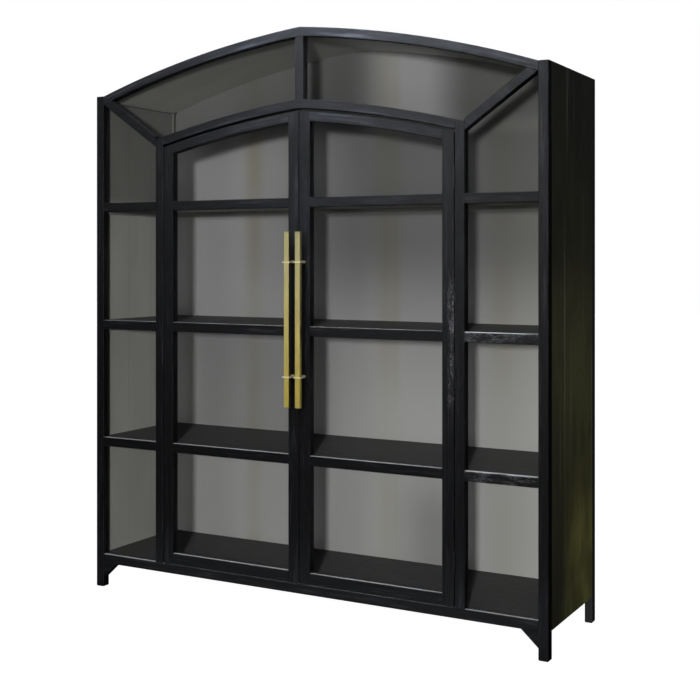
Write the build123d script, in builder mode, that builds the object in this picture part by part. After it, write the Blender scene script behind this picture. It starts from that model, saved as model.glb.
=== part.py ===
from build123d import *
from math import hypot, sqrt
import os

# Wide arched display cabinet with two glazed doors between two fixed glazed bays.
# Millimetres. X runs along the width, +Y from the front to the back, +Z up.
# The origin is on the floor, in the middle of the width and of the overall depth.
# "Depth" in the names below is measured from the front face towards the back.

# ---- Overall sizes
case_width = 2030.0
case_depth = 540.0
post_height = 2100.0
apex_height = 2308.0
leg_height = 102.0

# ---- Front frame
stock_width = 38.0
frame_thickness = 35.0
rear_post_width = 30.0
bay_opening = 279.0
bottom_rail_height = 38.0
rail_height = 38.0
rail_pitch = 501.0
cross_rail_count = 3
edge_bevel = 2.0
foot_bevel = 3.0
gusset_width = 66.0
gusset_height = 60.0
gusset_setback = 4.0

# ---- Arches: each half is one arc, and the two halves meet at a slight point
arch_radius = 4360.0
arch_face = 36.0
inner_arch_drop = 281.0
diagonal_width = 36.0
diagonal_drop = 10.0

# ---- Doors
door_gap = 3.0
door_head_gap = 12.0
door_thickness = 34.0
hinge_stile_width = 48.0
meeting_stile_width = 47.0
door_bottom_rail_height = 43.0
door_top_rail_height = 37.0

# ---- Glazing
glass_thickness = 4.0
glass_depth = 15.0
rebate_width = 8.0
glass_edge_clearance = 1.0
bead_clearance = 0.2

# ---- Carcass
side_thickness = 20.0
side_board_count = 3
board_joint = 0.6
board_bevel = 1.0
shelf_thickness = 25.0
shelf_clearance = 3.0
notch_clearance = 1.0
cleat_height = 22.0
back_cleat_depth = 12.0
back_thickness = 9.0
back_frame_thickness = 11.0
roof_thickness = 15.0
bearer_width = 38.0
bearer_count = 5
door_stop_depth = 15.0
door_stop_overlap = 15.0

# ---- Hinges: a leaf on the post, a leaf on the door and a pin in front of the gap
hinge_height = 76.0
hinge_end_distance = 160.0
hinge_leaf_depth = 30.0
hinge_leaf_thickness = 1.2
knuckle_radius = 3.2
knuckle_face_clearance = 0.3
knuckle_end_clearance = 0.4
pin_radius = 2.0
pin_clearance = 0.05
pin_overhang = 2.0

# ---- Pulls
pull_length = 680.0
pull_centre_height = 1170.0
pull_width = 23.0
pull_thickness = 12.0
pull_bevel = 1.0
pull_standoff = 46.0
pull_fixing_spacing = 444.0
collar_margin = 7.0
collar_height = 4.0
collar_clearance = 0.05
standoff_radius = 6.0
bolt_radius = 2.5
bolt_head_radius = 6.0
bolt_head_height = 3.0
bolt_engagement = 12.0

# ---- Magnetic catches
catch_width = 46.0
catch_height = 12.0
catch_depth = 22.0
catch_offset = 90.0
strike_width = 40.0
strike_thickness = 1.0

# ---- Places that follow from the sizes above
half_width = case_width / 2
post_inner = half_width - stock_width
inner_post_outer = post_inner - bay_opening
inner_post_inner = inner_post_outer - stock_width
inner_post_axis = (inner_post_inner + inner_post_outer) / 2
rear_post_inner = half_width - rear_post_width
side_inner = half_width - side_thickness
rear_post_depth = case_depth - frame_thickness
back_depth = case_depth - back_frame_thickness - back_thickness
back_frame_depth = case_depth - back_frame_thickness
bottom_rail_top = leg_height + bottom_rail_height
door_outer = inner_post_inner - door_gap
door_inner = door_gap / 2
door_bottom = bottom_rail_top + door_gap
door_top_drop = inner_arch_drop + arch_face + door_head_gap
shelf_front = frame_thickness + shelf_clearance
hinge_axis_x = (inner_post_inner + door_outer) / 2
hinge_axis_depth = -(knuckle_radius + knuckle_face_clearance)
pull_x = door_inner + meeting_stile_width / 2
pull_reach = pull_standoff + pull_thickness / 2 + collar_margin
front_y = (pull_reach - case_depth) / 2

# The arc of the right half passes through the apex and the top inner corner of the post.
arch_run = post_inner
arch_rise = apex_height - post_height
arch_chord = hypot(arch_run, arch_rise)
arch_sagitta_leg = sqrt(arch_radius**2 - (arch_chord / 2) ** 2)
arch_centre_x = arch_run / 2 - arch_rise / arch_chord * arch_sagitta_leg
arch_centre_z = (apex_height + post_height) / 2 - arch_run / arch_chord * arch_sagitta_leg


def arch_z(x, drop=0.0):
    """Height of the arch's top curve at distance x from the middle, lowered by drop."""
    return arch_centre_z + sqrt(arch_radius**2 - (x - arch_centre_x) ** 2) - drop


diagonal_top_x = half_width - stock_width / 2
diagonal_low_z = arch_z(inner_post_axis, inner_arch_drop + arch_face / 2) - diagonal_drop
diagonal_slope = (post_height - diagonal_low_z) / (diagonal_top_x - inner_post_axis)
diagonal_half_height = diagonal_width / 2 * sqrt(1 + diagonal_slope**2)
hinge_heights = (
    door_bottom + hinge_end_distance,
    (door_bottom + arch_z(door_outer, door_top_drop)) / 2,
    arch_z(door_outer, door_top_drop) - hinge_end_distance,
)
fixing_heights = (
    pull_centre_height - pull_fixing_spacing / 2,
    pull_centre_height + pull_fixing_spacing / 2,
)


def diagonal_z(x):
    """Height of a diagonal's centre line at distance x from the middle."""
    return diagonal_low_z + diagonal_slope * (x - inner_post_axis)


def rail_top(row):
    """Top of a cross rail; row 0 is the bottom rail."""
    return leg_height + bottom_rail_height / 2 + row * rail_pitch + rail_height / 2


def rail_bottom(row):
    return rail_top(row) - rail_height


def at_depth(depth):
    """Upright plane seen from the front: sketch x is +X and sketch y is +Z."""
    return Plane((0, front_y + depth, 0), x_dir=(1, 0, 0), z_dir=(0, -1, 0))


def save(builder, name):
    builder.part.label = name
    export_step(builder.part, f"parts/{name}.step")


# ---- Outlines drawn into the active sketch, in front view


def block(side, x0, x1, z0, z1, mode=Mode.ADD):
    """Rectangle between two distances from the middle, on one side (-1 left, 1 right)."""
    with Locations((side * (x0 + x1) / 2, (z0 + z1) / 2)):
        Rectangle(abs(x1 - x0), z1 - z0, mode=mode)


def under_arch(drop, mode=Mode.ADD):
    """Everything below the arch's curve lowered by drop."""
    ends = (half_width, half_width / 2, 0)
    with BuildLine() as outline:
        left = ThreePointArc(*[(-x, arch_z(x, drop)) for x in ends])
        right = ThreePointArc(*[(x, arch_z(x, drop)) for x in reversed(ends)])
        Polyline(right @ 1, (half_width, 0), (-half_width, 0), left @ 0)
    make_face(outline.edges(), mode=mode)


def corners(*points, mode=Mode.ADD):
    """Straight-sided outline through the points."""
    with BuildLine() as outline:
        Polyline(*points, close=True)
    make_face(outline.edges(), mode=mode)


def arch_band(side, drop, height, x0, x1):
    """Curved strip between two distances from the middle, height deep at every x."""
    under_arch(drop)
    under_arch(drop + height, mode=Mode.SUBTRACT)
    block(side, x0, x1, 0, apex_height, mode=Mode.INTERSECT)


def bay_pane(side, row):
    """Clear opening of one pane of a side bay; the top one is cut by the diagonal."""
    low = rail_top(row) if row else bottom_rail_top
    if row < cross_rail_count:
        block(side, inner_post_outer, post_inner, low, rail_bottom(row + 1))
    else:
        corners(
            (side * inner_post_outer, low),
            (side * post_inner, low),
            (side * post_inner, diagonal_z(post_inner) - diagonal_half_height),
            (side * inner_post_outer, diagonal_z(inner_post_outer) - diagonal_half_height),
        )


def fan_pane(side):
    """Clear opening between the two arches, the middle post and the diagonal."""
    under_arch(arch_face)
    under_arch(inner_arch_drop, mode=Mode.SUBTRACT)
    corners(
        (side * stock_width / 2, 0),
        (side * inner_post_inner, 0),
        (side * inner_post_inner, diagonal_z(inner_post_inner) + diagonal_half_height),
        (side * half_width, diagonal_z(half_width) + diagonal_half_height),
        (side * half_width, apex_height),
        (side * stock_width / 2, apex_height),
        mode=Mode.INTERSECT,
    )


def door_pane(side, row):
    """Clear opening of one pane of a door; the top one has an arched head."""
    low = rail_top(row) if row else door_bottom + door_bottom_rail_height
    inner = door_inner + meeting_stile_width
    outer = door_outer - hinge_stile_width
    if row < cross_rail_count:
        block(side, inner, outer, low, rail_bottom(row + 1))
    else:
        under_arch(door_top_drop + door_top_rail_height)
        block(side, inner, outer, low, apex_height, mode=Mode.INTERSECT)


def fixed_panes(side):
    """The fixed panes on one side, each as a drawing function and its arguments."""
    rows = [(bay_pane, (side, row)) for row in range(cross_rail_count + 1)]
    return rows + [(fan_pane, (side,))]


def door_panes(side):
    return [(door_pane, (side, row)) for row in range(cross_rail_count + 1)]


def pane_solids(panes, grow, depth, thickness, mode=Mode.ADD):
    """Extrude each pane's opening, grown all round, from one depth towards the back."""
    for draw, arguments in panes:
        with BuildSketch(at_depth(depth)) as opening:
            draw(*arguments)
            if grow:
                offset(amount=grow)
        extrude(opening.sketch, amount=-thickness, mode=mode)


def cut_rebates(panes, thickness):
    """Cut the rebates that the glass and its beads sit in, open at the back."""
    pane_solids(panes, rebate_width, glass_depth, thickness - glass_depth, Mode.SUBTRACT)


def bevel_front(edges):
    """Ease the long front edges of a frame member."""
    chamfer(edges.group_by(Axis.Y)[0], edge_bevel)


os.makedirs("parts", exist_ok=True)
sides = (("left", -1), ("right", 1))
all_fixed_panes = fixed_panes(-1) + fixed_panes(1)

# ================================================================ front frame

for name, side in sides:
    with BuildPart() as front_post:
        with BuildSketch(at_depth(0)):
            block(side, post_inner, half_width, 0, post_height)
        extrude(amount=-frame_thickness)
        bevel_front(front_post.edges().filter_by(Axis.Z))
        chamfer(front_post.faces().sort_by(Axis.Z)[0].edges(), foot_bevel)
        cut_rebates(fixed_panes(side), frame_thickness)
    save(front_post, f"front_post_{name}")

    # The inner post runs up between the diagonal and the inner arch, to their tops.
    with BuildPart() as inner_post:
        with BuildSketch(at_depth(0)):
            under_arch(inner_arch_drop)
            corners(
                (side * inner_post_inner, bottom_rail_top),
                (side * inner_post_outer, bottom_rail_top),
                (side * inner_post_outer, diagonal_z(inner_post_outer) + diagonal_half_height),
                (side * inner_post_inner, diagonal_z(inner_post_outer) + diagonal_half_height),
                mode=Mode.INTERSECT,
            )
        extrude(amount=-frame_thickness)
        bevel_front(inner_post.edges().filter_by(Axis.Z))
        cut_rebates(fixed_panes(side), frame_thickness)
    save(inner_post, f"inner_post_{name}")

    with BuildPart() as outer_arch:
        with BuildSketch(at_depth(0)):
            arch_band(side, 0, arch_face, 0, post_inner)
        extrude(amount=-frame_thickness)
        bevel_front(outer_arch.edges().filter_by(GeomType.CIRCLE))
        cut_rebates(fixed_panes(side), frame_thickness)
    save(outer_arch, f"outer_arch_{name}")

    with BuildPart() as inner_arch:
        with BuildSketch(at_depth(0)):
            arch_band(side, inner_arch_drop, arch_face, 0, inner_post_inner)
        extrude(amount=-frame_thickness)
        bevel_front(inner_arch.edges().filter_by(GeomType.CIRCLE))
        cut_rebates(fixed_panes(side), frame_thickness)
    save(inner_arch, f"inner_arch_{name}")

    with BuildPart() as diagonal:
        with BuildSketch(at_depth(0)):
            under_arch(arch_face)
            corners(
                (side * inner_post_outer, diagonal_z(inner_post_outer) - diagonal_half_height),
                (side * post_inner, diagonal_z(post_inner) - diagonal_half_height),
                (side * post_inner, diagonal_z(post_inner) + diagonal_half_height),
                (side * inner_post_outer, diagonal_z(inner_post_outer) + diagonal_half_height),
                mode=Mode.INTERSECT,
            )
        extrude(amount=-frame_thickness)
        long_edges = diagonal.edges().filter_by(GeomType.LINE).group_by(SortBy.LENGTH)[-2:]
        front_edges = ShapeList(long_edges[0] + long_edges[1]).group_by(Axis.Y)[0]
        chamfer(front_edges, edge_bevel)
        cut_rebates(fixed_panes(side), frame_thickness)
    save(diagonal, f"diagonal_{name}")

with BuildPart() as bay_rails:
    with BuildSketch(at_depth(0)):
        for name, side in sides:
            for row in range(1, cross_rail_count + 1):
                block(side, inner_post_outer, post_inner, rail_bottom(row), rail_top(row))
    extrude(amount=-frame_thickness)
    bevel_front(bay_rails.edges().filter_by(Axis.X))
    cut_rebates(all_fixed_panes, frame_thickness)
save(bay_rails, "bay_rails")

with BuildPart() as centre_mullion:
    with BuildSketch(at_depth(0)):
        under_arch(arch_face)
        under_arch(inner_arch_drop, mode=Mode.SUBTRACT)
        block(1, -stock_width / 2, stock_width / 2, 0, apex_height, mode=Mode.INTERSECT)
    extrude(amount=-frame_thickness)
    bevel_front(centre_mullion.edges().filter_by(Axis.Z))
    cut_rebates(all_fixed_panes, frame_thickness)
save(centre_mullion, "centre_mullion")

with BuildPart() as front_bottom_rail:
    with BuildSketch(at_depth(0)):
        block(1, -post_inner, post_inner, leg_height, bottom_rail_top)
    extrude(amount=-frame_thickness)
    bevel_front(front_bottom_rail.edges().filter_by(Axis.X))
    cut_rebates(all_fixed_panes, frame_thickness)
save(front_bottom_rail, "front_bottom_rail")

with BuildPart() as gussets:
    with BuildSketch(at_depth(gusset_setback)):
        for name, side in sides:
            corners(
                (side * post_inner, leg_height),
                (side * (post_inner - gusset_width), leg_height),
                (side * post_inner, leg_height - gusset_height),
            )
    extrude(amount=-(frame_thickness - gusset_setback))
save(gussets, "gussets")

# ================================================================ fixed glazing

pane_grow = rebate_width - glass_edge_clearance
bead_grow = rebate_width - bead_clearance
bead_depth = glass_depth + glass_thickness

with BuildPart() as bay_glass:
    bay_panes = [pane for pane in all_fixed_panes if pane[0] is bay_pane]
    pane_solids(bay_panes, pane_grow, glass_depth, glass_thickness)
save(bay_glass, "bay_glass")

with BuildPart() as fan_glass:
    fan_panes = [pane for pane in all_fixed_panes if pane[0] is fan_pane]
    pane_solids(fan_panes, pane_grow, glass_depth, glass_thickness)
save(fan_glass, "fan_glass")

with BuildPart() as fixed_glazing_beads:
    bead_thickness = frame_thickness - bead_depth
    pane_solids(all_fixed_panes, bead_grow, bead_depth, bead_thickness)
    pane_solids(all_fixed_panes, 0, bead_depth, bead_thickness, Mode.SUBTRACT)
save(fixed_glazing_beads, "fixed_glazing_beads")

# ================================================================ carcass

board_pitch = (rear_post_depth - frame_thickness + board_joint) / side_board_count


def floor_block(x0, x1, depth0, depth1, mode=Mode.ADD):
    """Rectangle in plan between two places across the width and two depths."""
    with Locations(((x0 + x1) / 2, front_y + (depth0 + depth1) / 2)):
        Rectangle(abs(x1 - x0), depth1 - depth0, mode=mode)


def shelf_outline():
    """Plan of a shelf: from side to side, notched round the rear posts."""
    floor_block(-side_inner, side_inner, shelf_front, back_depth)
    notch_x = rear_post_inner - notch_clearance
    notch_depth = rear_post_depth - notch_clearance
    for name, side in sides:
        floor_block(side * notch_x, side * half_width, notch_depth, case_depth, Mode.SUBTRACT)


for name, side in sides:
    with BuildPart() as rear_post:
        with BuildSketch(Plane.XY):
            floor_block(side * rear_post_inner, side * half_width, rear_post_depth, case_depth)
        extrude(amount=post_height)
        with BuildSketch(Plane.XY):
            floor_block(side * rear_post_inner, side * side_inner, back_depth, case_depth)
        extrude(amount=post_height, mode=Mode.SUBTRACT)
        with BuildSketch(Plane.XY):
            floor_block(side * rear_post_inner, side * side_inner, rear_post_depth, case_depth)
        extrude(amount=leg_height)
        chamfer(rear_post.faces().sort_by(Axis.Z)[0].edges(), foot_bevel)
    save(rear_post, f"rear_post_{name}")

    with BuildPart() as side_boards:
        with BuildSketch(Plane.XY.offset(leg_height)):
            for board in range(side_board_count):
                start = frame_thickness + board * board_pitch
                floor_block(side * side_inner, side * half_width, start, start + board_pitch - board_joint)
        extrude(amount=post_height - leg_height)
        board_edges = side_boards.edges().filter_by(Axis.Z).group_by(Axis.X)
        chamfer(board_edges[0] if side < 0 else board_edges[-1], board_bevel)
    save(side_boards, f"side_boards_{name}")

    with BuildPart() as roof_panel:
        with BuildSketch(at_depth(frame_thickness)):
            arch_band(side, 0, roof_thickness, 0, post_inner)
        extrude(amount=-(back_frame_depth - frame_thickness))
    save(roof_panel, f"roof_panel_{name}")

with BuildPart() as back_panel:
    with BuildSketch(at_depth(back_depth)):
        under_arch(roof_thickness)
        block(1, -side_inner, side_inner, leg_height, apex_height, mode=Mode.INTERSECT)
        for name, side in sides:
            block(side, post_inner, side_inner, post_height - cleat_height, apex_height, Mode.SUBTRACT)
    extrude(amount=-back_thickness)
save(back_panel, "back_panel")

with BuildPart() as rear_arch:
    with BuildSketch(at_depth(back_frame_depth)):
        arch_band(1, 0, arch_face, -side_inner, side_inner)
    extrude(amount=-back_frame_thickness)
save(rear_arch, "rear_arch")

with BuildPart() as rear_rails:
    with BuildSketch(at_depth(back_frame_depth)):
        block(1, -side_inner, side_inner, leg_height, bottom_rail_top)
        for row in range(1, cross_rail_count + 1):
            block(1, -side_inner, side_inner, rail_bottom(row), rail_top(row))
    extrude(amount=-back_frame_thickness)
    chamfer(rear_rails.edges().filter_by(Axis.X).group_by(Axis.Y)[-1], edge_bevel)
save(rear_rails, "rear_rails")

with BuildPart() as bottom_board:
    with BuildSketch(Plane.XY.offset(bottom_rail_top - shelf_thickness)):
        shelf_outline()
    extrude(amount=shelf_thickness)
save(bottom_board, "bottom_board")

with BuildPart() as base_bearers:
    bearer_height = bottom_rail_height - shelf_thickness
    bearer_span = 2 * side_inner - bearer_width
    bearer_spacing = bearer_span / (bearer_count - 1)
    with BuildSketch(Plane.XY.offset(leg_height)):
        for bearer in range(bearer_count):
            middle = bearer * bearer_spacing - bearer_span / 2
            start = middle - bearer_width / 2
            floor_block(start, start + bearer_width, frame_thickness, rear_post_depth)
    extrude(amount=bearer_height)
save(base_bearers, "base_bearers")

for row, name in enumerate(("lower_shelf", "middle_shelf", "upper_shelf"), start=1):
    with BuildPart() as shelf:
        with BuildSketch(Plane.XY.offset(rail_top(row) - shelf_thickness)):
            shelf_outline()
        extrude(amount=shelf_thickness)
        chamfer(shelf.edges().filter_by(Axis.X).group_by(Axis.Y)[0], board_bevel)
    save(shelf, name)

with BuildPart() as shelf_cleats:
    for row in range(1, cross_rail_count + 1):
        with BuildSketch(Plane.XY.offset(rail_top(row) - shelf_thickness - cleat_height)):
            for name, side in sides:
                floor_block(side * post_inner, side * side_inner, shelf_front, rear_post_depth)
            back_cleat_end = post_inner - notch_clearance
            floor_block(-back_cleat_end, back_cleat_end, back_depth - back_cleat_depth, back_depth)
        extrude(amount=cleat_height)
    with BuildSketch(Plane.XY.offset(post_height - cleat_height)):
        for name, side in sides:
            floor_block(side * post_inner, side * side_inner, frame_thickness, rear_post_depth)
    extrude(amount=cleat_height)
save(shelf_cleats, "shelf_cleats")

# The stop is fixed behind the inner arch and closes the gap over the doors from inside.
with BuildPart() as door_stop:
    stop_drop = door_top_drop - door_head_gap - door_stop_overlap
    stop_height = 2 * door_stop_overlap + door_head_gap
    with BuildSketch(at_depth(frame_thickness)):
        arch_band(1, stop_drop, stop_height, -inner_post_inner, inner_post_inner)
    extrude(amount=-door_stop_depth)
save(door_stop, "door_stop")

with BuildPart() as magnetic_catches:
    catch_front = door_thickness + strike_thickness + strike_thickness
    catch_top = rail_top(cross_rail_count) - shelf_thickness
    with BuildSketch(Plane.XY.offset(catch_top - catch_height)):
        for name, side in sides:
            start = side * (catch_offset - catch_width / 2)
            end = side * (catch_offset + catch_width / 2)
            floor_block(start, end, catch_front, shelf_front + catch_depth)
    extrude(amount=catch_height)
save(magnetic_catches, "magnetic_catches")

# ================================================================ hinges

segment_height = (hinge_height - 2 * knuckle_end_clearance) / 3


def hinge_leaf(side, leaf_x0, leaf_x1, low, segments):
    """Leaf plate with its knuckles; low is the hinge's lower end."""
    with BuildSketch(Plane.XY.offset(low)) as plate:
        floor_block(side * leaf_x0, side * leaf_x1, 0, hinge_leaf_depth)
    extrude(plate.sketch, amount=hinge_height)
    for segment in segments:
        start = low + segment * (segment_height + knuckle_end_clearance)
        with BuildSketch(Plane.XY.offset(start)) as knuckle:
            floor_block(side * leaf_x0, side * leaf_x1, hinge_axis_depth, 0)
            with Locations((side * hinge_axis_x, front_y + hinge_axis_depth)):
                Circle(knuckle_radius)
                Circle(pin_radius + pin_clearance, mode=Mode.SUBTRACT)
        extrude(knuckle.sketch, amount=segment_height)


with BuildPart() as hinge_frame_leaves:
    for name, side in sides:
        for height in hinge_heights:
            leaf_x = inner_post_inner - hinge_leaf_thickness
            hinge_leaf(side, leaf_x, inner_post_inner, height - hinge_height / 2, (0, 2))
save(hinge_frame_leaves, "hinge_frame_leaves")

with BuildPart() as hinge_pins:
    for name, side in sides:
        for height in hinge_heights:
            with BuildSketch(Plane.XY.offset(height - hinge_height / 2 - pin_overhang)):
                with Locations((side * hinge_axis_x, front_y + hinge_axis_depth)):
                    Circle(pin_radius)
            extrude(amount=hinge_height + 2 * pin_overhang)
    chamfer(hinge_pins.edges().filter_by(GeomType.CIRCLE), pin_radius / 4)
save(hinge_pins, "hinge_pins")

# ================================================================ doors

for name, side in sides:
    with BuildPart() as hinge_stile:
        with BuildSketch(at_depth(0)):
            under_arch(door_top_drop)
            stile_inner = door_outer - hinge_stile_width
            block(side, stile_inner, door_outer, door_bottom, apex_height, mode=Mode.INTERSECT)
        extrude(amount=-door_thickness)
        bevel_front(hinge_stile.edges().filter_by(Axis.Z))
        cut_rebates(door_panes(side), door_thickness)
    save(hinge_stile, f"{name}_door_hinge_stile")

    with BuildPart() as meeting_stile:
        with BuildSketch(at_depth(0)):
            under_arch(door_top_drop)
            stile_outer = door_inner + meeting_stile_width
            block(side, door_inner, stile_outer, door_bottom, apex_height, mode=Mode.INTERSECT)
        extrude(amount=-door_thickness)
        bevel_front(meeting_stile.edges().filter_by(Axis.Z))
        cut_rebates(door_panes(side), door_thickness)
        for height in fixing_heights:
            with BuildSketch(at_depth(0)):
                with Locations((side * pull_x, height)):
                    Circle(bolt_radius)
            extrude(amount=-door_thickness, mode=Mode.SUBTRACT)
    save(meeting_stile, f"{name}_door_meeting_stile")

    rail_inner = door_inner + meeting_stile_width
    rail_outer = door_outer - hinge_stile_width

    with BuildPart() as top_rail:
        with BuildSketch(at_depth(0)):
            arch_band(side, door_top_drop, door_top_rail_height, rail_inner, rail_outer)
        extrude(amount=-door_thickness)
        bevel_front(top_rail.edges().filter_by(GeomType.CIRCLE))
        cut_rebates(door_panes(side), door_thickness)
    save(top_rail, f"{name}_door_top_rail")

    with BuildPart() as bottom_rail:
        with BuildSketch(at_depth(0)):
            rail_high = door_bottom + door_bottom_rail_height
            block(side, rail_inner, rail_outer, door_bottom, rail_high)
        extrude(amount=-door_thickness)
        bevel_front(bottom_rail.edges().filter_by(Axis.X))
        cut_rebates(door_panes(side), door_thickness)
    save(bottom_rail, f"{name}_door_bottom_rail")

    with BuildPart() as cross_rails:
        with BuildSketch(at_depth(0)):
            for row in range(1, cross_rail_count + 1):
                block(side, rail_inner, rail_outer, rail_bottom(row), rail_top(row))
        extrude(amount=-door_thickness)
        bevel_front(cross_rails.edges().filter_by(Axis.X))
        cut_rebates(door_panes(side), door_thickness)
    save(cross_rails, f"{name}_door_cross_rails")

    with BuildPart() as door_glass:
        pane_solids(door_panes(side), pane_grow, glass_depth, glass_thickness)
    save(door_glass, f"{name}_door_glass")

    with BuildPart() as door_beads:
        bead_thickness = door_thickness - bead_depth
        pane_solids(door_panes(side), bead_grow, bead_depth, bead_thickness)
        pane_solids(door_panes(side), 0, bead_depth, bead_thickness, Mode.SUBTRACT)
    save(door_beads, f"{name}_door_beads")

    with BuildPart() as door_leaves:
        for height in hinge_heights:
            leaf_x = door_outer + hinge_leaf_thickness
            hinge_leaf(side, door_outer, leaf_x, height - hinge_height / 2, (1,))
    save(door_leaves, f"{name}_door_hinge_leaves")

    with BuildPart() as strike_plate:
        strike_top = rail_top(cross_rail_count) - shelf_thickness
        with BuildSketch(at_depth(door_thickness)):
            start = catch_offset - strike_width / 2
            end = catch_offset + strike_width / 2
            block(side, start, end, rail_bottom(cross_rail_count), strike_top)
        extrude(amount=-strike_thickness)
    save(strike_plate, f"{name}_strike_plate")

    with BuildPart() as pull_bar:
        with BuildSketch(Plane.XY.offset(pull_centre_height - pull_length / 2)):
            with Locations((side * pull_x, front_y - pull_standoff)):
                Rectangle(pull_width, pull_thickness)
        extrude(amount=pull_length)
        chamfer(pull_bar.edges(), pull_bevel)
    save(pull_bar, f"{name}_pull_bar")

    # Each standoff is a round post that carries a thin collar round the bar.
    with BuildPart() as pull_standoffs:
        for height in fixing_heights:
            with BuildSketch(at_depth(0)):
                with Locations((side * pull_x, height)):
                    Circle(standoff_radius)
            extrude(amount=pull_standoff - pull_thickness / 2 - collar_clearance)
            with BuildSketch(Plane.XY.offset(height - collar_height / 2)):
                with Locations((side * pull_x, front_y - pull_standoff)):
                    Rectangle(pull_width, pull_thickness)
                    offset(amount=collar_margin)
                    hole_width = pull_width + 2 * collar_clearance
                    hole_thickness = pull_thickness + 2 * collar_clearance
                    Rectangle(hole_width, hole_thickness, mode=Mode.SUBTRACT)
            extrude(amount=collar_height)
            with BuildSketch(at_depth(0)):
                with Locations((side * pull_x, height)):
                    Circle(bolt_radius)
            extrude(amount=bolt_engagement, mode=Mode.SUBTRACT)
    save(pull_standoffs, f"{name}_pull_standoffs")

    with BuildPart() as pull_bolts:
        for height in fixing_heights:
            with BuildSketch(at_depth(-bolt_engagement)):
                with Locations((side * pull_x, height)):
                    Circle(bolt_radius)
            extrude(amount=-(bolt_engagement + door_thickness))
            with BuildSketch(at_depth(door_thickness)):
                with Locations((side * pull_x, height)):
                    Circle(bolt_head_radius)
            extrude(amount=-bolt_head_height)
    save(pull_bolts, f"{name}_pull_bolts")
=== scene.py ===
import math
import bmesh
import bpy
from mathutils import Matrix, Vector


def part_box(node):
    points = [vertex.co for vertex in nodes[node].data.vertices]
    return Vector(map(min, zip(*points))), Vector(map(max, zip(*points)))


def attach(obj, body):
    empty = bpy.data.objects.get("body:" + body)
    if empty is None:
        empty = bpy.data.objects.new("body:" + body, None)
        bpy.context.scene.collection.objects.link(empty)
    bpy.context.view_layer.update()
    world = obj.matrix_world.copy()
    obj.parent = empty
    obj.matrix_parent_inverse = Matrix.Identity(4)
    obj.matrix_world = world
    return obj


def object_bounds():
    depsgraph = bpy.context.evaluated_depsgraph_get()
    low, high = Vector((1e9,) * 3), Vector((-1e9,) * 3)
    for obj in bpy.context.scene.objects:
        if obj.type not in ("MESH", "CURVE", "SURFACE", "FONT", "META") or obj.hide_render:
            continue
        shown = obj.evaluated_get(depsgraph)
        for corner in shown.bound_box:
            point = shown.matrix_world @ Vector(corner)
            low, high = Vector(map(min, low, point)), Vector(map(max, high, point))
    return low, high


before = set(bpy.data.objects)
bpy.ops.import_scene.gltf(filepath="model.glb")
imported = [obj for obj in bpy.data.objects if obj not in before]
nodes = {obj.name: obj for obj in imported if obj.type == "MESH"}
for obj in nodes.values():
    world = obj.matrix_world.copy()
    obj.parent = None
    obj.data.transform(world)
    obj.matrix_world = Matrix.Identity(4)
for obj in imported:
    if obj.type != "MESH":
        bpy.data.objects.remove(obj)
cad_low, cad_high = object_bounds()
scene = bpy.context.scene

# Sizes of the case that the looks depend on, in metres, all from the frame.
apex_z = cad_high.z
side_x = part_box("side_boards_right")[1].x
back_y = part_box("back_panel")[0].y
case_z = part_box("back_panel")[0].z

# ---------------------------------------------------------------- camera
camera_data = bpy.data.cameras.new("camera")
camera = bpy.data.objects.new("camera", camera_data)
scene.collection.objects.link(camera)
camera.location = (2.3989, -4.2072, 1.4116)
camera.rotation_euler = (math.radians(90), 0, math.radians(28.70))
camera_data.lens = 61.23
camera_data.sensor_width = 36
camera_data.shift_y = -0.1327
scene.camera = camera

scene.view_settings.view_transform = "Standard"
scene.view_settings.look = "None"


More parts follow.
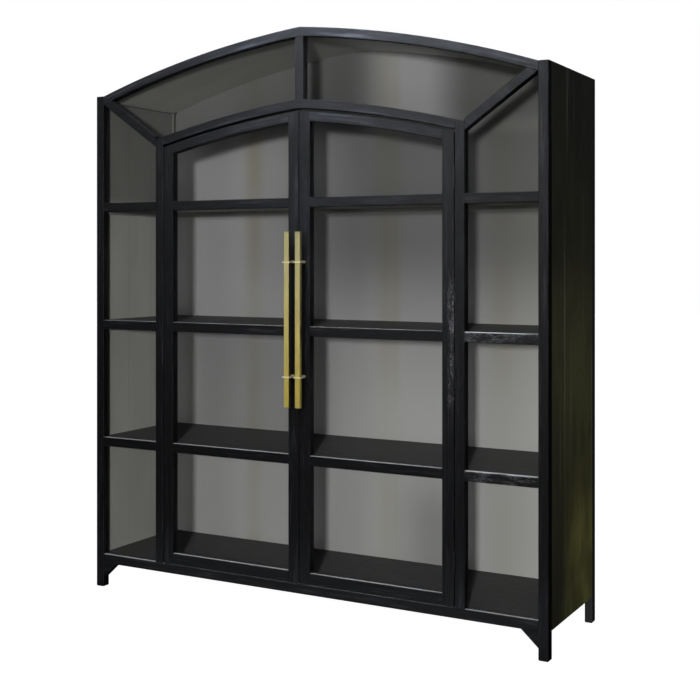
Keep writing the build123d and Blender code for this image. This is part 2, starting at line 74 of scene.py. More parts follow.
# ---------------------------------------------------------------- node helpers
class Tree:
    """A node tree, with short calls that add nodes and link them."""

    def __init__(self, tree):
        self.tree = tree
        self.tree.nodes.clear()

    def node(self, kind, **settings):
        made = self.tree.nodes.new(kind)
        for name, value in settings.items():
            setattr(made, name, value)
        return made

    def put(self, socket, value):
        """Links value to the socket if it is one, and sets it if it is a number or colour."""
        if isinstance(value, bpy.types.NodeSocket):
            self.tree.links.new(value, socket)
        else:
            socket.default_value = value

    def math(self, operation, first, second=0.0):
        made = self.node("ShaderNodeMath", operation=operation)
        self.put(made.inputs[0], first)
        self.put(made.inputs[1], second)
        return made.outputs[0]

    def product(self, *factors):
        """All the factors multiplied together."""
        result = factors[0]
        for factor in factors[1:]:
            result = self.math("MULTIPLY", result, factor)
        return result

    def band(self, value, low, high, out_low=0.0, out_high=1.0):
        """Goes smoothly from out_low to out_high as value goes from low to high."""
        made = self.node("ShaderNodeMapRange", interpolation_type="SMOOTHSTEP")
        self.put(made.inputs["Value"], value)
        made.inputs["From Min"].default_value = low
        made.inputs["From Max"].default_value = high
        made.inputs["To Min"].default_value = out_low
        made.inputs["To Max"].default_value = out_high
        return made.outputs["Result"]

    def mix(self, factor, low, high):
        """Colour low where factor is 0, and high where it is 1."""
        made = self.node("ShaderNodeMix", data_type="RGBA")
        self.put(made.inputs["Factor"], factor)
        self.put(made.inputs["A"], colour(low))
        self.put(made.inputs["B"], colour(high))
        return made.outputs["Result"]

    def noise(self, vector, scale, detail, roughness):
        made = self.node("ShaderNodeTexNoise")
        self.put(made.inputs["Vector"], vector)
        made.inputs["Scale"].default_value = scale
        made.inputs["Detail"].default_value = detail
        made.inputs["Roughness"].default_value = roughness
        return made.outputs[0]

    def stretched(self, vector, scales, detail, roughness):
        """Noise with its own scale along each part of the vector."""
        return self.noise(self.scaled(vector, scales), 1.0, detail, roughness)

    def combine(self, x, y, z):
        made = self.node("ShaderNodeCombineXYZ")
        self.put(made.inputs[0], x)
        self.put(made.inputs[1], y)
        self.put(made.inputs[2], z)
        return made.outputs[0]

    def scaled(self, vector, scale):
        made = self.node("ShaderNodeVectorMath", operation="MULTIPLY")
        self.put(made.inputs[0], vector)
        made.inputs[1].default_value = scale
        return made.outputs[0]

    def bump(self, height, strength, distance):
        made = self.node("ShaderNodeBump")
        made.inputs["Strength"].default_value = strength
        made.inputs["Distance"].default_value = distance
        self.put(made.inputs["Height"], height)
        return made.outputs["Normal"]


def colour(value):
    """Three numbers as the four of a colour socket. Anything else is left as it is."""
    if isinstance(value, tuple) and len(value) == 3:
        return (*value, 1.0)
    return value


def new_material(name):
    material = bpy.data.materials.new(name)
    material.use_nodes = True
    return material, Tree(material.node_tree)


def show(tree, shader):
    """Puts the shader on the material's output."""
    output = tree.node("ShaderNodeOutputMaterial")
    tree.tree.links.new(shader.outputs[0], output.inputs["Surface"])


def principled(tree, **inputs):
    """A Principled shader on the material's output. Underscores in a name stand for spaces."""
    shader = tree.node("ShaderNodeBsdfPrincipled")
    for name, value in inputs.items():
        tree.put(shader.inputs[name.replace("_", " ")], colour(value))
    show(tree, shader)


def object_axes(tree):
    """The object coordinate, its three parts, and the three parts of the face's own normal."""
    coordinate = tree.node("ShaderNodeTexCoord")
    place = tree.node("ShaderNodeSeparateXYZ")
    tree.put(place.inputs[0], coordinate.outputs["Object"])
    normal = tree.node("ShaderNodeSeparateXYZ")
    tree.put(normal.inputs[0], coordinate.outputs["Normal"])
    return coordinate.outputs["Object"], place.outputs, normal.outputs


# ---------------------------------------------------------------- ebonised wood
ARCH_RADIUS = 4.360
ARCH_CENTRE_X = -0.413
ARCH_CENTRE_Z = apex_z - math.sqrt(ARCH_RADIUS**2 - ARCH_CENTRE_X**2)


def grain_axes(tree, run):
    """A coordinate whose third part goes along the grain: run is upright, level, rising, falling or arch."""
    place, normal = object_axes(tree)[1:]
    x, y, z = place
    if run == "upright":
        vector = tree.combine(x, y, z)
    elif run == "level":
        vector = tree.combine(z, y, x)
    elif run == "arch":
        across_x = tree.math("SUBTRACT", tree.math("ABSOLUTE", x), ARCH_CENTRE_X)
        across_z = tree.math("SUBTRACT", z, ARCH_CENTRE_Z)
        turned = tree.math("ARCTAN2", across_x, across_z)
        along = tree.math("MULTIPLY", turned, ARCH_RADIUS)
        squares = tree.math("ADD", tree.product(across_x, across_x), tree.product(across_z, across_z))
        vector = tree.combine(tree.math("SQRT", squares), y, along)
    else:
        sign = 1.0 if run == "rising" else -1.0
        slanted = tree.math("MULTIPLY", x, sign)
        along = tree.math("ADD", slanted, z)
        across = tree.math("SUBTRACT", slanted, z)
        vector = tree.combine(across, y, along)
    return vector, place, normal


def edge_mask(tree, normal):
    """1 on the small bevels along the edges, where the face's normal lies between two axes."""
    sizes = [tree.math("ABSOLUTE", part) for part in normal]
    other = tree.math("MAXIMUM", sizes[0], sizes[2])
    least = tree.math("MINIMUM", sizes[1], other)
    return tree.band(least, 0.35, 0.6)


SCRATCHED = (0.055, 0.056, 0.060)
RIM_GREY = (0.085, 0.085, 0.090)
# The pale colour of faces that look up, a painted highlight.
PAINTED_TOP_HIGHLIGHT = (0.95, 0.95, 0.95)
RUBBED_GREY = (0.56, 0.56, 0.57)


def rubbed_stretch(tree, base, vector, place, normal, along, worn):
    """Pale flecks of wear, and a painted highlight on the upper rim, within the stretch that worn gives."""
    middle, half, highest, lowest_x = worn
    away = tree.math("ABSOLUTE", tree.math("SUBTRACT", along, middle))
    inside = tree.product(
        tree.band(away, half * 0.45, half * 1.1, 1.0, 0.0),
        tree.band(place[2], highest - 0.05, highest, 1.0, 0.0),
        tree.band(place[0], lowest_x - 0.006, lowest_x + 0.006),
    )
    flecks = tree.stretched(vector, (900, 900, 95), 5.0, 0.8)
    groups = tree.stretched(vector, (70, 70, 14), 3.0, 0.6)
    rubbed = tree.product(tree.band(flecks, 0.515, 0.57), tree.band(groups, 0.42, 0.62, 0.10, 0.95), inside)
    base = tree.mix(tree.math("MULTIPLY", rubbed, 0.80), base, RUBBED_GREY)
    # The upper rim is painted pale: a painted highlight.
    looks_up = tree.band(normal[2], 0.45, 0.65)
    upper_rim = tree.product(looks_up, tree.band(groups, 0.38, 0.50, 0.15, 0.95), inside)
    return tree.mix(upper_rim, base, PAINTED_TOP_HIGHLIGHT)


def frame_wood(name, run, worn=None, painted_sheen=0.0, top_highlight=0.0):
    """Brushed black-stained wood.

    worn is (middle, half length, highest z, lowest x) of a stretch that is rubbed pale. The next argument is
    how far the base is painted paler and bluer, a painted sheen, and the last is how pale the faces that look
    up are painted, a painted highlight.
    """
    material, tree = new_material(name)
    vector, place, normal = grain_axes(tree, run)
    fibres = tree.stretched(vector, (150, 150, 5), 6.0, 0.62)
    streaks = tree.stretched(vector, (420, 420, 11), 3.0, 0.6)
    patches = tree.stretched(vector, (16, 16, 2.4), 3.0, 0.55)
    brushed = tree.stretched(vector, (60, 60, 4.0), 5.0, 0.70)
    # Painted sheen: on the arches these tones are made paler and bluer.
    dark = (0.0008 + 0.005 * painted_sheen, 0.0008 + 0.0055 * painted_sheen, 0.0010 + 0.007 * painted_sheen)
    middle_tone = (0.0048 + 0.016 * painted_sheen, 0.0049 + 0.018 * painted_sheen, 0.0058 + 0.022 * painted_sheen)
    light = (0.030 + 0.050 * painted_sheen, 0.031 + 0.056 * painted_sheen, 0.037 + 0.068 * painted_sheen)
    base = tree.mix(tree.band(fibres, 0.30, 0.72), dark, middle_tone)
    base = tree.mix(tree.band(patches, 0.42, 0.72, 0.0, 0.5), base, middle_tone)
    base = tree.mix(tree.band(brushed, 0.51, 0.70, 0.0, 0.95), base, light)
    scratch = tree.product(tree.band(streaks, 0.62, 0.76), tree.band(patches, 0.5, 0.75), 0.45)
    base = tree.mix(scratch, base, SCRATCHED)
    rim_wear = tree.band(tree.stretched(vector, (60, 60, 9), 4.0, 0.6), 0.38, 0.66, 0.25, 1.0)
    base = tree.mix(tree.product(edge_mask(tree, normal), rim_wear, 0.4), base, RIM_GREY)
    # Faces that look up are painted pale: a painted highlight.
    if top_highlight:
        looks_up = tree.band(normal[2], 0.78, 0.92, 0.0, top_highlight)
        base = tree.mix(tree.product(looks_up, tree.band(fibres, 0.25, 0.6, 0.55, 1.0)), base, PAINTED_TOP_HIGHLIGHT)
    if worn:
        along = place[2] if run == "upright" else place[0]
        base = rubbed_stretch(tree, base, vector, place, normal, along, worn)
    rough = tree.band(fibres, 0.25, 0.75, 0.33, 0.17)
    rough = tree.math("ADD", rough, tree.band(brushed, 0.35, 0.70, 0.36, 0.16))
    height = tree.math("ADD", tree.math("MULTIPLY", fibres, 0.7), tree.math("MULTIPLY", streaks, 0.3))
    bump = tree.bump(height, 0.5, 0.0007)
    principled(tree, Base_Color=base, Roughness=rough, Specular_IOR_Level=0.25, Normal=bump)
    return material


# ---------------------------------------------------------------- paint and plainer wood
# Where the light in the fan is strongest, its tones, and how far the paint reaches into the corners.
FAN_GLOW_X = 0.22
ROOF_GLOW = (0.85, 0.85, 0.83)
POST_SHADE_GREY = (0.070, 0.069, 0.065)
SIDE_BOARD_DEPTH = 0.0203
PAINT_EDGE = 0.0005


def inner_paint(tree, vector, scale):
    """The warm grey paint of the inside, a little uneven; scale is how pale it is, and it differs from part
    to part as painted light and shade.
    """
    mottle = tree.stretched(vector, (5, 5, 1.6), 3.0, 0.5)
    low = (0.17 * scale, 0.168 * scale, 0.158 * scale)
    high = (0.27 * scale, 0.266 * scale, 0.250 * scale)
    return tree.mix(mottle, low, high)


def paint_under_roof(tree, base, vector, place, normal):
    """Grey paint on the faces that look down, made paler as painted light, with a painted glow palest over
    the middle of the fan.
    """
    inside = tree.math("LESS_THAN", normal[2], -0.3)
    away = tree.math("ABSOLUTE", tree.math("SUBTRACT", place[0], FAN_GLOW_X))
    glow = tree.band(away, 0.08, 0.32, 0.6, 0.0)
    return tree.mix(inside, base, tree.mix(glow, inner_paint(tree, vector, 1.75), ROOF_GLOW))


def paint_corner(tree, base, vector, place, normal):
    """Paint on the parts of a rear post that stand inside the case, with painted shade on their sideways
    faces at the top.
    """
    between_sides = tree.math("LESS_THAN", tree.math("ABSOLUTE", place[0]), side_x - SIDE_BOARD_DEPTH)
    before_back = tree.math("LESS_THAN", place[1], back_y + PAINT_EDGE)
    above_floor = tree.math("GREATER_THAN", place[2], case_z)
    # The sideways faces near the top are painted darker: painted shade.
    sideways = tree.math("GREATER_THAN", tree.math("ABSOLUTE", normal[0]), 0.5)
    sideways = tree.math("MULTIPLY", sideways, tree.band(place[2], 1.85, 1.95))
    tone = tree.mix(sideways, inner_paint(tree, vector, 0.6), POST_SHADE_GREY)
    return tree.mix(tree.product(between_sides, before_back, above_floor), base, tone)


def carcass_wood(name, run, painted=None):
    """The plainer wood inside and behind the case.

    painted says which of its faces are grey: under, corner or all.
    """
    material, tree = new_material(name)
    vector, place, normal = grain_axes(tree, run)
    fibres = tree.stretched(vector, (110, 110, 4), 5.0, 0.6)
    patches = tree.stretched(vector, (9, 9, 1.5), 3.0, 0.5)
    base = tree.mix(tree.band(fibres, 0.3, 0.72), (0.004, 0.004, 0.0045), (0.018, 0.0175, 0.017))
    base = tree.mix(tree.band(patches, 0.5, 0.8, 0.0, 0.5), base, (0.03, 0.028, 0.025))
    if painted == "under":
        base = paint_under_roof(tree, base, vector, place, normal)
    elif painted == "corner":
        base = paint_corner(tree, base, vector, place, normal)
    elif painted == "all":
        # Here the grey is taken darker, as painted shade.
        base = inner_paint(tree, vector, 0.75)
    rough = tree.band(fibres, 0.25, 0.75, 0.75, 0.52)
    bump = tree.bump(fibres, 0.4, 0.0005)
    principled(tree, Base_Color=base, Roughness=rough, Specular_IOR_Level=0.3, Normal=bump)
    return material


def side_wood():
    """Black, fairly glossy boards outside, with a yellow-green painted reflection low down, and warm grey
    paint on their inner faces, with painted shade above the upper shelf.
    """
    material, tree = new_material("side_wood")
    vector, place, normal = grain_axes(tree, "upright")
    fibres = tree.stretched(vector, (120, 120, 2.2), 6.0, 0.65)
    pores = tree.stretched(vector, (330, 330, 7), 3.0, 0.6)
    patches = tree.stretched(vector, (7, 7, 1.0), 3.0, 0.5)
    blotches = tree.stretched(vector, (4, 4.5, 2.6), 3.0, 0.55)
    lines = tree.stretched(vector, (55, 55, 0.7), 2.0, 0.6)
    outside = tree.mix(tree.band(fibres, 0.3, 0.75), (0.0012, 0.0012, 0.0013), (0.0075, 0.0077, 0.0076))
    outside = tree.mix(tree.band(patches, 0.45, 0.75, 0.0, 0.5), outside, (0.0085, 0.0085, 0.0080))
    # The yellow-green on the lower outside is a painted reflection, strongest low down and towards the back.
    painted_olive_reflection = tree.product(
        tree.band(place[2], 0.20, 1.75, 1.0, 0.0),
        tree.band(blotches, 0.38, 0.60, 0.15, 1.0),
        tree.band(place[1], -0.22, 0.10, 0.20, 1.0),
    )
    outside = tree.mix(painted_olive_reflection, outside, (0.036, 0.035, 0.019))
    # The paler yellow-green patch below z 0.6 is more of the painted reflection.
    lowest = tree.product(
        tree.band(place[2], 0.30, 0.60, 1.0, 0.0),
        tree.band(place[1], -0.12, 0.16),
        tree.band(blotches, 0.35, 0.65, 0.3, 1.0),
    )
    outside = tree.mix(lowest, outside, (0.098, 0.095, 0.036))
    scratch = tree.product(tree.band(pores, 0.60, 0.73), tree.band(patches, 0.46, 0.66), 0.6)
    outside = tree.mix(scratch, outside, (0.075, 0.076, 0.074))
    faint = tree.product(tree.band(lines, 0.60, 0.68), tree.band(fibres, 0.40, 0.60), 0.7)
    outside = tree.mix(faint, outside, (0.075, 0.077, 0.077))
    inside = inner_paint(tree, vector, 1.3)
    # The inner faces are painted darker above z 1.6: painted shade.
    inside = tree.mix(tree.band(place[2], 1.60, 1.68, 0.0, 0.60), inside, (0.03, 0.03, 0.027))
    facing_in = tree.math("LESS_THAN", tree.math("MULTIPLY", place[0], normal[0]), -0.5)
    base = tree.mix(facing_in, outside, inside)
    rough = tree.band(fibres, 0.25, 0.75, 0.36, 0.22)
    rough = tree.math("ADD", rough, tree.math("MULTIPLY", facing_in, 0.25))
    rough = tree.math("ADD", rough, tree.band(blotches, 0.35, 0.65, 0.12, 0.0))
    height = tree.math("ADD", fibres, tree.math("MULTIPLY", pores, 0.4))
    outside_share = tree.math("SUBTRACT", 1.0, tree.math("MULTIPLY", facing_in, 0.85))
    bump = tree.bump(tree.math("MULTIPLY", height, outside_share), 0.35, 0.0006)
    principled(tree, Base_Color=base, Roughness=rough, Specular_IOR_Level=0.4, Normal=bump)
    return material


# Warm streaks down the back: (middle x, half width, depth).
STREAKS = [
    (-0.547, 0.075, 0.85),
    (-0.36, 0.05, 0.30),
    (0.115, 0.070, 0.65),
    (0.165, 0.035, 0.5),
    (0.64, 0.080, 0.6),
    (0.90, 0.05, 0.35),
]
# Parts of the back painted darker, as painted shade: (lowest z, highest z, lowest x, highest x, depth).
PAINTED_SHADE_PATCHES = [
    (0.60, 1.08, -1.05, -0.05, 0.31),
    (1.58, 1.95, -0.15, 1.20, 0.24),
    (1.58, 1.95, 0.40, 1.20, 0.14),
]
STREAK_COLOUR = (0.225, 0.205, 0.160)
WARM_GREY = (0.300, 0.285, 0.245)
PAINTED_LIGHT_GREY = (0.42, 0.413, 0.400)


def streaked(tree, grey, x, z):
    """The grey with the warm streaks, each fading in and out on its way down."""
    for middle, half, depth in STREAKS:
        away = tree.math("ABSOLUTE", tree.math("SUBTRACT", x, middle))
        wander = tree.noise(tree.combine(middle, 0.0, z), 2.3, 2.0, 0.5)
        inside = tree.product(tree.band(away, 0.0, half, depth, 0.0), tree.band(wander, 0.3, 0.65, 0.35, 1.0))
        grey = tree.mix(inside, grey, STREAK_COLOUR)
    return grey


def add_painted_shade(tree, grey, x, z):
    """The grey with its patches of painted shade, which have soft edges."""
    for low_z, high_z, low_x, high_x, depth in PAINTED_SHADE_PATCHES:
        patch_shade = tree.product(
            tree.band(z, low_z, low_z + 0.06),
            tree.band(z, high_z - 0.06, high_z, 1.0, 0.0),
            tree.band(x, low_x, low_x + 0.25),
            tree.band(x, high_x - 0.2, high_x, 1.0, 0.0),
            depth,
        )
        grey = tree.mix(patch_shade, grey, (0.03, 0.03, 0.03))
    return grey


def back_paint():
    """Grey paint with soft warm streaks, painted shade and painted light in front, and bare black board
    behind.
    """
    material, tree = new_material("back_paint")
    vector, place, normal = grain_axes(tree, "upright")
    x = place[0]
    z = place[2]
    cloud = tree.stretched(vector, (2.6, 2.6, 0.9), 3.0, 0.5)
    fine = tree.stretched(vector, (300, 300, 90), 3.0, 0.5)
    grey = tree.mix(cloud, (0.236, 0.233, 0.236), (0.316, 0.312, 0.315))
    grey = streaked(tree, grey, x, z)
    grey = tree.mix(tree.band(x, 0.45, 0.95, 0.0, 0.6), grey, WARM_GREY)
    under_roof = tree.band(z, 1.90, 2.02)
    off_middle = tree.math("ABSOLUTE", tree.math("SUBTRACT", x, FAN_GLOW_X))
    # Painted shade: the back is darkened above z 1.05, more from the middle rightwards, but not over the
    # middle of the fan.
    unshaded_fan_middle = tree.math("MULTIPLY", under_roof, tree.band(off_middle, 0.06, 0.30, 1.0, 0.0))
    painted_upper_shade = tree.product(
        tree.band(z, 1.05, 1.50),
        tree.band(x, -0.75, 0.10, 0.05, 0.58),
        tree.math("SUBTRACT", 1.0, unshaded_fan_middle),
    )
    grey = tree.mix(painted_upper_shade, grey, (0.02, 0.02, 0.019))
    shaded = tree.math("MULTIPLY", under_roof, tree.band(off_middle, 0.08, 0.32, 0.0, 0.70))
    grey = tree.mix(shaded, grey, (0.06, 0.06, 0.057))
    # Painted light: the back is paler below z 1.15, more so to the right.
    painted_low_light = tree.math("MULTIPLY", tree.band(z, 0.75, 1.15, 0.45, 0.0), tree.band(x, -0.5, 0.4, 0.35, 1.0))
    grey = tree.mix(painted_low_light, grey, PAINTED_LIGHT_GREY)
    grey = add_painted_shade(tree, grey, x, z)
    # A painted dark reflection low on the back, between x 0.08 and 0.46.
    painted_dark_reflection = tree.product(
        tree.band(x, 0.08, 0.36, 0.0, 0.5),
        tree.band(x, 0.42, 0.46, 1.0, 0.0),
        tree.band(z, 0.30, 0.62, 1.0, 0.0),
    )
    grey = tree.mix(painted_dark_reflection, grey, (0.09, 0.09, 0.09))
    grain = tree.stretched(vector, (90, 90, 3), 4.0, 0.6)
    rear = tree.mix(tree.band(grain, 0.3, 0.7), (0.010, 0.010, 0.010), (0.035, 0.033, 0.030))
    behind = tree.math("GREATER_THAN", normal[1], 0.5)
    base = tree.mix(behind, grey, rear)
    bump = tree.bump(fine, 0.15, 0.0003)
    principled(tree, Base_Color=base, Roughness=0.55, Specular_IOR_Level=0.3, Normal=bump)
    return material


def shelf_paint():
    """Even charcoal lacquer on top, and grey paint below, made pale as painted light."""
    material, tree = new_material("shelf_paint")
    vector, place, normal = grain_axes(tree, "level")
    fine = tree.stretched(vector, (140, 140, 30), 4.0, 0.6)
    cloud = tree.stretched(vector, (3, 3, 2), 2.0, 0.5)
    base = tree.mix(fine, (0.019, 0.019, 0.019), (0.024, 0.024, 0.024))
    base = tree.mix(tree.band(cloud, 0.4, 0.7, 0.0, 0.4), base, (0.027, 0.027, 0.0265))
    # The undersides take the grey at its palest, as painted light.
    under = tree.math("LESS_THAN", normal[2], -0.5)
    base = tree.mix(under, base, inner_paint(tree, vector, 2.0))
    rough = tree.band(fine, 0.3, 0.7, 0.66, 0.56)
    bump = tree.bump(fine, 0.1, 0.0003)
    principled(tree, Base_Color=base, Roughness=rough, Specular_IOR_Level=0.15, Normal=bump)
    return material


# ---------------------------------------------------------------- metal and glass
PULL_LOW_Z = 0.83
PULL_HIGH_Z = 1.51


def pull_brass():
    """Satin brass, brushed along its length, and a little paler and less yellow towards the top, a painted
    reflection.
    """
    material, tree = new_material("pull_brass")
    whole, place = object_axes(tree)[:2]
    brushed = tree.stretched(whole, (900, 900, 14), 4.0, 0.6)
    stain = tree.stretched(whole, (30, 30, 7), 3.0, 0.55)
    # Paler and less yellow towards the top: a painted reflection.
    height = tree.band(place[2], PULL_LOW_Z, PULL_HIGH_Z)
    tone = tree.mix(height, (0.82, 0.645, 0.115), (0.72, 0.665, 0.34))
    tone = tree.mix(tree.band(brushed, 0.3, 0.75, 0.0, 0.4), tone, (0.90, 0.78, 0.36))
    tone = tree.mix(tree.band(stain, 0.45, 0.75, 0.0, 0.35), tone, (0.50, 0.40, 0.17))
    rough = tree.band(brushed, 0.25, 0.75, 0.34, 0.46)
    bump = tree.bump(brushed, 0.12, 0.0002)
    principled(tree, Base_Color=tone, Metallic=1.0, Roughness=rough, Normal=bump)
    return material


def collar_brass_highlight():
    """The brass of the collars and their stems, made paler and less metallic as a painted highlight."""
    material, tree = new_material("collar_brass_highlight")
    mottle = tree.noise(object_axes(tree)[0], 160.0, 4.0, 0.6)
    # The pale tones stand in for light: a painted highlight.
    tone = tree.mix(mottle, (0.88, 0.78, 0.44), (1.0, 0.94, 0.68))
    rough = tree.band(mottle, 0.3, 0.7, 0.30, 0.42)
    bump = tree.bump(mottle, 0.1, 0.0002)
    principled(tree, Base_Color=tone, Metallic=0.35, Roughness=rough, Normal=bump)
    return material


def dark_metal(name, low, high, rough_low, rough_high):
    """Blackened or plain steel with a fine mottle."""
    material, tree = new_material(name)
    mottle = tree.noise(object_axes(tree)[0], 260.0, 4.0, 0.6)
    tone = tree.mix(mottle, low, high)
    rough = tree.band(mottle, 0.3, 0.7, rough_low, rough_high)
    bump = tree.bump(mottle, 0.15, 0.0002)
    principled(tree, Base_Color=tone, Metallic=0.85, Roughness=rough, Normal=bump)
    return material


def clear_glass():
    """Clear float glass: it passes light straight through, and its front faces mirror by their angle."""
    material, tree = new_material("clear_glass")
    smear = tree.noise(object_axes(tree)[0], 3.2, 3.0, 0.55)
    clear = tree.node("ShaderNodeBsdfTransparent")
    clear.inputs["Color"].default_value = (0.972, 0.977, 0.972, 1.0)
    mirror = tree.node("ShaderNodeBsdfGlossy")
    mirror.inputs["Color"].default_value = (0.95, 0.97, 0.96, 1.0)
    tree.put(mirror.inputs["Roughness"], tree.band(smear, 0.35, 0.75, 0.01, 0.06))
    angle = tree.node("ShaderNodeFresnel")
    angle.inputs["IOR"].default_value = 1.45
    entering = tree.math("SUBTRACT", 1.0, tree.node("ShaderNodeNewGeometry").outputs["Backfacing"])
    mixed = tree.node("ShaderNodeMixShader")
    tree.put(mixed.inputs[0], tree.math("MULTIPLY", angle.outputs[0], entering))
    tree.tree.links.new(clear.outputs[0], mixed.inputs[1])
    tree.tree.links.new(mirror.outputs[0], mixed.inputs[2])
    show(tree, mixed)
    return material


# ---------------------------------------------------------------- which piece has which finish
# The arches get a painted sheen, paler and bluer, the outer arch most; level parts get a painted highlight on
# their upper faces.
upright = frame_wood("frame_wood_upright", "upright")
level = frame_wood("frame_wood_level", "level", top_highlight=0.9)
arched = frame_wood("frame_wood_arch", "arch", painted_sheen=0.10)
crown = frame_wood("frame_wood_crown", "arch", painted_sheen=0.6)
rising = frame_wood("frame_wood_rising", "rising")
falling = frame_wood("frame_wood_falling", "falling")
rubbed_stile = frame_wood("frame_wood_rubbed_stile", "upright", worn=(1.09, 0.27, 2.0, 0.632))
rubbed_rail = frame_wood("frame_wood_rubbed_rail", "level", worn=(0.83, 0.18, 1.35, 0.68), top_highlight=0.9)
carcass_upright = carcass_wood("carcass_wood_upright", "upright", "corner")
carcass_level = carcass_wood("carcass_wood_level", "level")
painted_cleat = carcass_wood("carcass_wood_cleat", "level", "all")
carcass_arch = carcass_wood("carcass_wood_arch", "arch")
roof = carcass_wood("carcass_wood_roof", "arch", "under")
boards = side_wood()
back = back_paint()
shelf = shelf_paint()
brass = pull_brass()
collar = collar_brass_highlight()
steel = dark_metal("bolt_steel", (0.10, 0.10, 0.105), (0.22, 0.22, 0.23), 0.30, 0.45)
black_metal = dark_metal("black_hardware", (0.012, 0.012, 0.013), (0.03, 0.03, 0.032), 0.38, 0.55)
glass = clear_glass()

finishes = {
    "outer_arch_left": crown,
    "outer_arch_right": crown,
    "inner_arch_left": arched,
    "inner_arch_right": arched,
    "left_door_top_rail": arched,
    "right_door_top_rail": arched,
    "diagonal_left": rising,
    "diagonal_right": falling,
    "front_bottom_rail": level,
    "bay_rails": rubbed_rail,
    "left_door_bottom_rail": level,
    "right_door_bottom_rail": level,
    "left_door_cross_rails": level,
    "right_door_cross_rails": level,
    "gussets": level,
    "right_door_hinge_stile": rubbed_stile,
    "back_panel": back,
    "shelf_cleats": painted_cleat,
    "left_pull_standoffs": collar,
    "right_pull_standoffs": collar,
    "rear_arch": carcass_arch,
    "roof_panel_left": roof,
    "roof_panel_right": roof,
    "rear_post_left": carcass_upright,
    "rear_post_right": carcass_upright,
}
slot_finishes = {
    "frame_wood": upright,
    "side_wood": boards,
    "carcass_wood": carcass_level,
    "shelf_paint": shelf,
    "back_paint": back,
    "clear_glass": glass,
    "pull_brass": brass,
    "bolt_steel": steel,
    "black_hardware": black_metal,
}
slot_of = {}
for name, node in nodes.items():
    for place in node.material_slots:
        slot_of[name] = place.material.name.split(".")[0]
        place.material = finishes.get(name) or slot_finishes[slot_of[name]]


# ---------------------------------------------------------------- screws that hold the back on
# From the rim to the middle of a head: (radius, height above the wood).
SCREW_PROFILE = [
    (0.0042, 0.0),
    (0.0042, 0.0007),
    (0.0034, 0.0014),
    (0.0019, 0.0018),
    (0.0013, 0.0011),
    (0.0, 0.0010),
]
SCREW_SIDES = 12
SCREWS_PER_POST = 9
LOWEST_SCREW_Z = 0.16
TOP_SCREW_DROP = 0.06


def add_screw(shape, x, y, z):
    """A low round head, dished in the middle, on the rear face at y."""
    rings = []
    for radius, rise in SCREW_PROFILE[:-1]:
        ring = []
        for step in range(SCREW_SIDES):
            turn = 2 * math.pi * step / SCREW_SIDES
            point = (x + radius * math.cos(turn), y + rise, z + radius * math.sin(turn))
            ring.append(shape.verts.new(point))
        rings.append(ring)
    for outer, inner in zip(rings, rings[1:]):
        for step in range(SCREW_SIDES):
            after = (step + 1) % SCREW_SIDES
            shape.faces.new((outer[after], outer[step], inner[step], inner[after]))
    middle = shape.verts.new((x, y + SCREW_PROFILE[-1][1], z))
    for step in range(SCREW_SIDES):
        after = (step + 1) % SCREW_SIDES
        shape.faces.new((rings[-1][after], rings[-1][step], middle))


def screw_row(shape, start, end, count):
    """count heads spread evenly from start to end."""
    for step in range(count):
        x, y, z = Vector(start).lerp(Vector(end), step / (count - 1))
        add_screw(shape, x, y, z)


screw_mesh = bpy.data.meshes.new("back_screws")
screw_shape = bmesh.new()
post_low, post_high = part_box("rear_post_right")
post_middle = (post_low.x + post_high.x) / 2
for side in (-1, 1):
    lowest_screw = (side * post_middle, post_high.y, LOWEST_SCREW_Z)
    top_screw = (side * post_middle, post_high.y, post_high.z - TOP_SCREW_DROP)
    screw_row(screw_shape, lowest_screw, top_screw, SCREWS_PER_POST)
bmesh.ops.recalc_face_normals(screw_shape, faces=screw_shape.faces)
screw_shape.to_mesh(screw_mesh)
screw_shape.free()
screw_mesh.materials.append(steel)
screws = bpy.data.objects.new("back_screws", screw_mesh)
scene.collection.objects.link(screws)
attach(screws, "cabinet")


# ---------------------------------------------------------------- floor, world, lights
FLOOR_REACH = 25.0
BLACK = (0.0, 0.0, 0.0)
WHITE = (1.0, 1.0, 1.0)
BLUISH = (0.91, 0.96, 1.06)
OLIVE = (0.85, 0.85, 0.40)


def seen_clear(tree):
    """1 for a ray straight from the camera: the studio looks plain white, but lights the case softly."""
    return tree.node("ShaderNodeLightPath").outputs["Is Camera Ray"]


world = bpy.data.worlds.new("studio")
scene.world = world
world.use_nodes = True
sky = Tree(world.node_tree)
direction = sky.node("ShaderNodeTexCoord")
parts = sky.node("ShaderNodeSeparateXYZ")
sky.put(parts.inputs[0], direction.outputs["Generated"])
fill = sky.mix(sky.band(parts.outputs[2], -0.25, 0.75), (0.008, 0.008, 0.008), (0.085, 0.087, 0.092))
seen = sky.mix(seen_clear(sky), fill, WHITE)
background = sky.node("ShaderNodeBackground")
sky.put(background.inputs["Color"], seen)
world_output = sky.node("ShaderNodeOutputWorld")
sky.tree.links.new(background.outputs[0], world_output.inputs["Surface"])


def pale_floor():
    """A pale floor, plain white to the camera and dim to everything else."""
    material, tree = new_material("floor_pale")
    speckle = tree.noise(object_axes(tree)[0], 4.0, 3.0, 0.5)
    pale = tree.mix(speckle, (0.80, 0.80, 0.80), (0.84, 0.84, 0.84))
    pale = tree.mix(seen_clear(tree), (0.10, 0.10, 0.10), pale)
    glow = tree.mix(seen_clear(tree), BLACK, WHITE)
    principled(tree, Base_Color=pale, Roughness=0.9, Emission_Color=glow, Emission_Strength=1.0)
    return material


floor_mesh = bpy.data.meshes.new("floor")
floor_shape = bmesh.new()
bmesh.ops.create_grid(floor_shape, x_segments=2, y_segments=2, size=FLOOR_REACH)
floor_shape.to_mesh(floor_mesh)
floor_shape.free()
floor_mesh.materials.append(pale_floor())
floor = bpy.data.objects.new("floor", floor_mesh)
scene.collection.objects.link(floor)


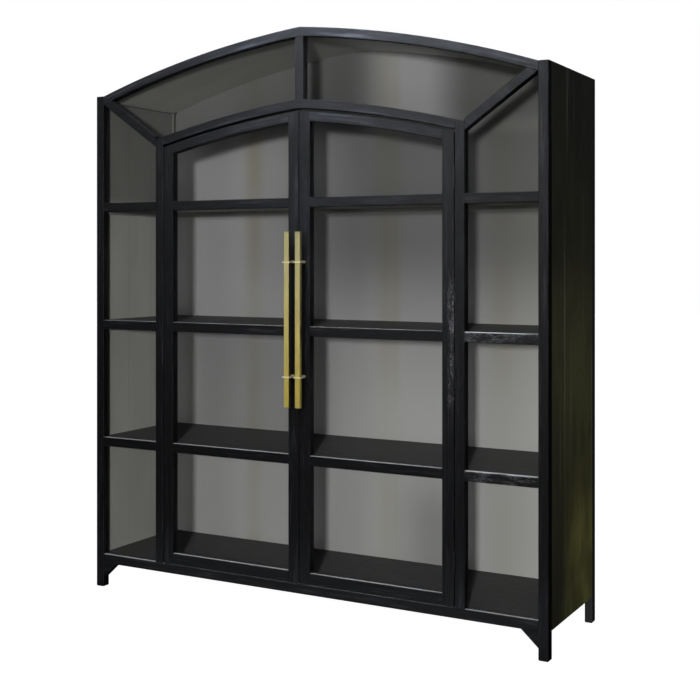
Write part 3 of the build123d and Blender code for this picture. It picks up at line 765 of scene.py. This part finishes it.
def group(name, slots):
    """The CAD nodes of these slots, as the only ones that a lamp lights."""
    made = bpy.data.collections.new(name)
    for node in nodes.values():
        if slot_of[node.name] in slots:
            made.objects.link(node)
    return made


frame_only = group("lit_frame", ["frame_wood"])
brass_only = group("lit_brass", ["pull_brass", "bolt_steel"])
inside_only = group("lit_inside", ["side_wood", "carcass_wood", "back_paint", "black_hardware"])
shelf_only = group("lit_shelves", ["shelf_paint"])
all_but_shelves = group("lit_others", [name for name in slot_finishes if name != "shelf_paint"])
side_only = group("lit_side", ["side_wood"])
rear_only = group("lit_rear", ["side_wood", "carcass_wood", "back_paint"])
collar_only = bpy.data.collections.new("lit_collars")
for side in ("left", "right"):
    collar_only.objects.link(nodes[side + "_pull_standoffs"])


def lamp(name, place, target, size, power, tone, lit, gloss_only=False, spread=180):
    """A soft rectangular lamp aimed at target, which lights only the nodes in lit."""
    data = bpy.data.lights.new(name, "AREA")
    data.shape = "RECTANGLE"
    data.size = size[0]
    data.size_y = size[1]
    data.energy = power
    data.color = tone
    data.spread = math.radians(spread)
    made = bpy.data.objects.new(name, data)
    scene.collection.objects.link(made)
    made.location = place
    away = Vector(target) - Vector(place)
    made.rotation_mode = "QUATERNION"
    made.rotation_quaternion = away.to_track_quat("-Z", "Y")
    made.visible_camera = False
    made.visible_diffuse = not gloss_only
    made.light_linking.receiver_collection = lit


# The inside and the shelves.
lamp("key", (2.85, -6.5, 1.74), (0, 0, 1.1), (0.36, 0.36), 376, WHITE, inside_only)
lamp("fill", (0.8, -6.0, 1.0), (0, 0, 1.1), (2.4, 2.0), 69, WHITE, inside_only)
lamp("shelf_key", (2.85, -6.5, 3.4), (0, 0, 1.1), (0.3, 0.3), 1060, WHITE, shelf_only)
lamp("top_soft", (-0.4, -2.6, 4.4), (0, 0, 1.6), (3.2, 1.6), 45, WHITE, all_but_shelves)
# The frame: soft light on its front, and long sheens that only its gloss picks up.
lamp("frame_key", (1.6, -6.5, 3.0), (0, 0, 1.1), (0.8, 0.8), 26, WHITE, frame_only)
lamp("frame_top", (0.5, -3.0, 4.0), (0.25, -0.24, 2.25), (0.8, 0.8), 10, BLUISH, frame_only, spread=60)
lamp("frame_apex", (0.1, -1.6, 3.4), (0.1, -0.24, 2.35), (0.5, 0.5), 5.5, BLUISH, frame_only, spread=50)
lamp("frame_foot", (0, -0.62, 0.01), (0, -0.24, 0.08), (2.3, 0.1), 1.0, BLUISH, frame_only, spread=110)
lamp("sheen_high", (-3.4, -6.0, 5.1), (0, 0, 1.7), (3.0, 2.0), 42, BLUISH, frame_only, gloss_only=True)
lamp("sheen_top", (-1.5, -4.6, 5.6), (0, 0, 2.2), (3.0, 0.8), 14, BLUISH, frame_only, True, spread=60)
lamp("sheen_right", (-0.9, -6.5, 2.9), (0, 0, 1.7), (1.6, 1.6), 26, WHITE, frame_only, gloss_only=True)
lamp("sheen_mid", (0.3, -5.6, 1.9), (0.8, 0, 1.6), (0.8, 1.6), 34, WHITE, frame_only, gloss_only=True)
# The pulls and their collars.
lamp("brass_glow", (-3.2, -6.0, 0.6), (0, 0, 1.1), (2.6, 2.8), 37, WHITE, brass_only, gloss_only=True)
lamp("collar_glow", (2.2, -5.0, 2.4), (0, 0, 1.2), (0.8, 0.8), 160, WHITE, collar_only)
# The back and the sides.
lamp("rear_soft", (-3.4, 5.5, 3.6), (0, 0, 1.2), (2.5, 2.0), 900, WHITE, rear_only)
lamp("left_soft", (-6.0, 0.6, 2.4), (0, 0, 1.2), (2.0, 2.0), 350, WHITE, rear_only)
lamp("side_glow", (4.2, 6.0, 0.35), (1.0, 0, 0.6), (2.2, 1.6), 2.5, OLIVE, side_only, gloss_only=True)
lamp("side_fill", (4.5, 0.9, 0.7), (1.0, 0, 0.4), (1.5, 1.0), 54, OLIVE, side_only)

bpy.context.view_layer.update()
